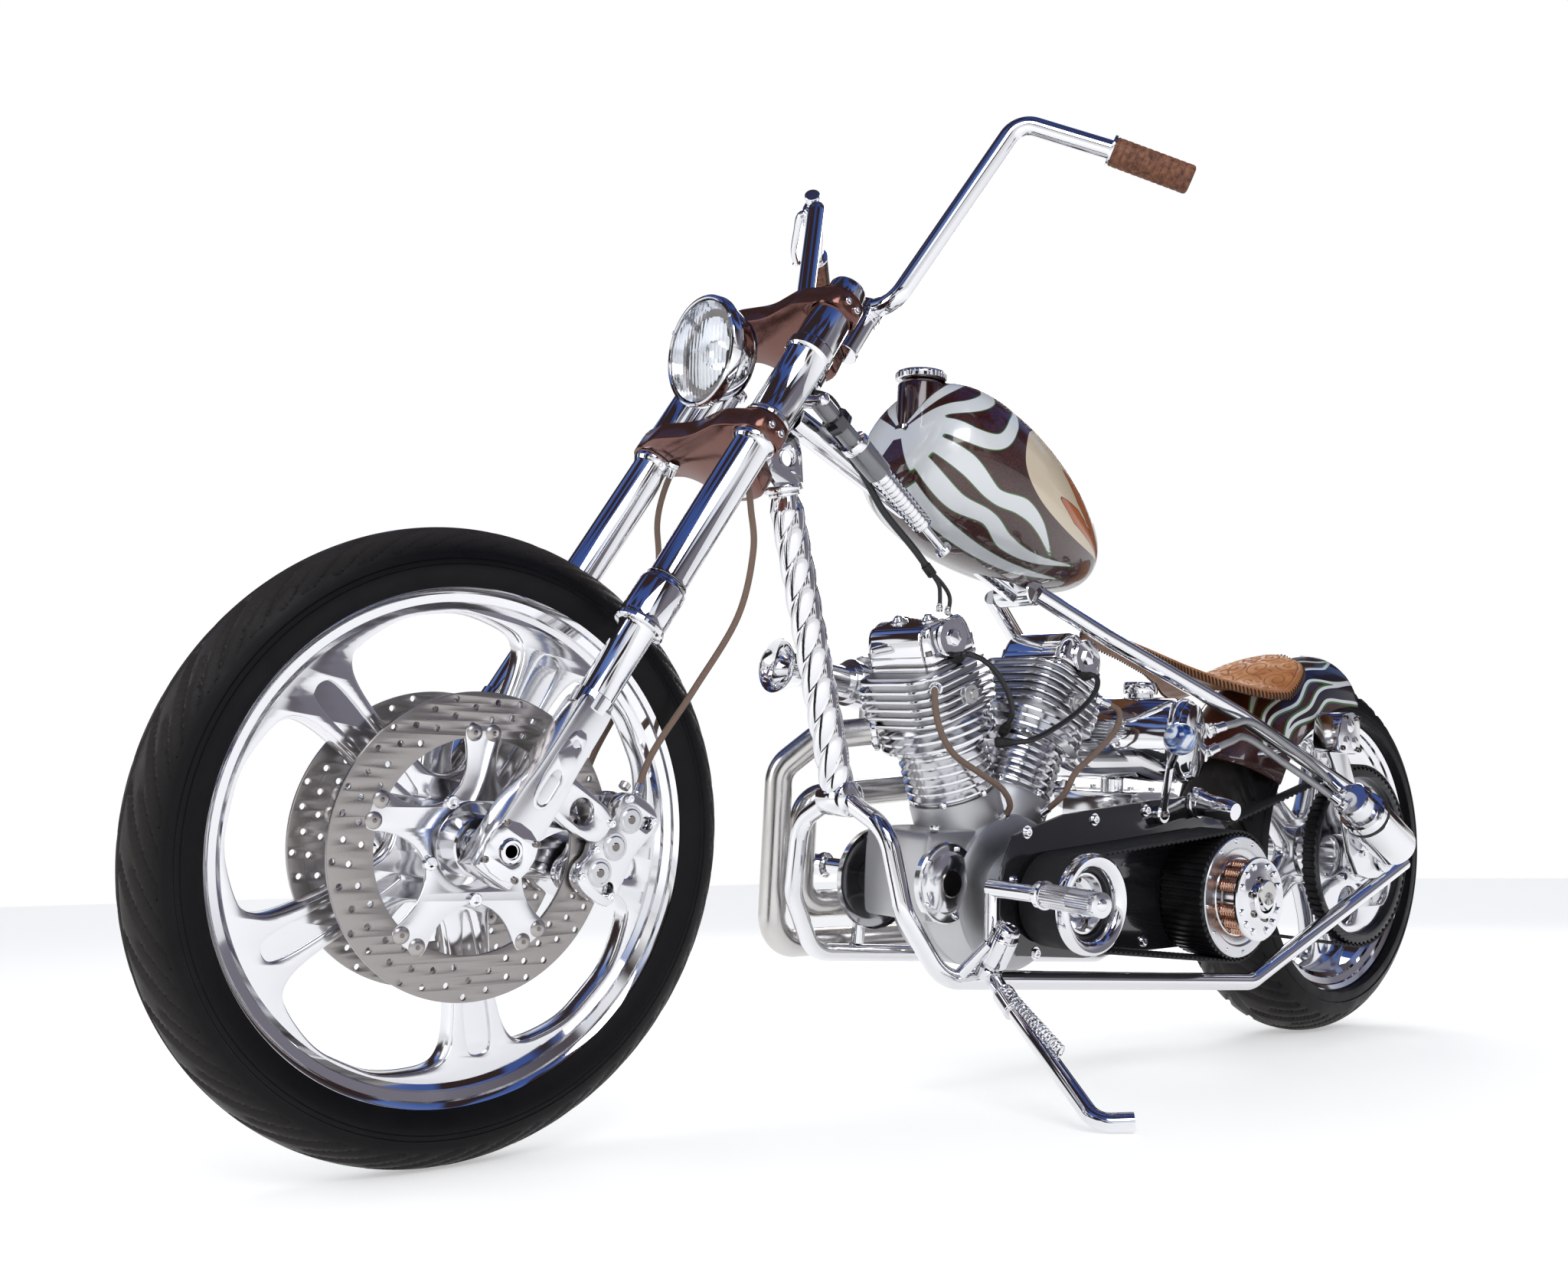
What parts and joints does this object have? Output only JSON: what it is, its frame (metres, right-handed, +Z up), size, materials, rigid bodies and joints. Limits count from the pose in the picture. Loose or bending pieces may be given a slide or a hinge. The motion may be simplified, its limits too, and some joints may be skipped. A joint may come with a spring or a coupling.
{
  "type": "chopper motorcycle",
  "caption": "Rigid-frame chopper with a long raked fork, twisted down tube, V-twin engine, open belt drive, small teardrop tank and side stand.",
  "frame": {"origin": "on the ground, in the middle of the box that the leaning machine fills", "axes": "+X forward, +Y to the rider's left, +Z up; the machine leans to the left on its side stand"},
  "size_m": [2.3718, 0.8066, 1.3485],
  "materials": {
    "chrome": "polished chrome plate",
    "polished_alloy": "polished cast aluminium",
    "paint": "dark root-beer metal-flake lacquer with silver flames",
    "black_plate": "gloss black enamel",
    "tyre": "black tyre rubber",
    "belt": "black toothed belt rubber",
    "seat_leather": "tooled tan saddle leather",
    "grip_leather": "laced brown leather",
    "disc_steel": "ground stainless steel",
    "lens": "fluted clear glass",
    "hose": "braided brown hose",
    "cable": "smooth black cable cover",
    "braid": "braided steel hose",
    "tree_metal": "dark polished plate"
  },
  "bodies": {
    "frame": {"frame_cradles": "chrome", "frame_backbone": "chrome", "frame_stays": "chrome", "steering_head": "chrome", "twisted_down_tube": "chrome", "axle_plates": "polished_alloy", "engine_case": "polished_alloy", "cylinders": "polished_alloy", "rocker_boxes": "chrome", "carburettor": "polished_alloy", "exhaust_pipes": "chrome", "motor_plate": "black_plate", "front_pulley": "polished_alloy", "clutch": "polished_alloy", "primary_belt": "belt", "gearbox": "polished_alloy", "final_belt": "belt", "oil_tank": "chrome", "oil_filter": "chrome", "oil_lines": "braid", "throttle_cable": "cable", "spark_leads": "cable", "engine_hoses": "hose", "shift_lever": "chrome", "foot_pegs": "chrome", "passenger_pegs": "chrome", "neck_strut": "chrome", "fuel_tank": "paint", "filler_cap": "chrome", "seat": "seat_leather", "rear_fender": "paint", "rear_caliper": "polished_alloy", "rear_axle": "chrome"},
    "fork": {"triple_trees": "tree_metal", "fork_legs": "chrome", "front_axle": "chrome", "headlight": "chrome", "headlight_lens": "lens", "handlebar": "chrome", "grips": "grip_leather", "brake_lever": "chrome", "front_calipers": "polished_alloy", "brake_hoses": "hose"},
    "front_wheel": {"front_tyre": "tyre", "front_rim": "polished_alloy", "front_spokes": "polished_alloy", "front_discs": "disc_steel"},
    "rear_wheel": {"rear_tyre": "tyre", "rear_rim": "polished_alloy", "rear_spokes": "polished_alloy", "rear_pulley": "polished_alloy"},
    "stand": {"side_stand": "chrome"}
  },
  "joints": [
    {"name": "steering", "type": "hinge", "parent": "frame", "child": "fork", "pos_m": [0.46602, -0.01971, 0.81726], "axis": [-0.5373, 0.0823, 0.8394], "range_deg": [-28, 28]},
    {"name": "front_wheel_spin", "type": "hinge", "parent": "fork", "child": "front_wheel", "pos_m": [0.839, -0.06595, 0.34573], "axis": [0, 0.9952, -0.0976], "continuous": true},
    {"name": "rear_wheel_spin", "type": "hinge", "parent": "frame", "child": "rear_wheel", "pos_m": [-0.863, -0.06829, 0.32184], "axis": [0, 0.9952, -0.0976], "continuous": true},
    {"name": "side_stand_fold", "type": "hinge", "parent": "frame", "child": "stand", "pos_m": [0.139, 0.0736, 0.17027], "axis": [0, 0.5534, 0.8329], "range_deg": [0, 88]}
  ]
}
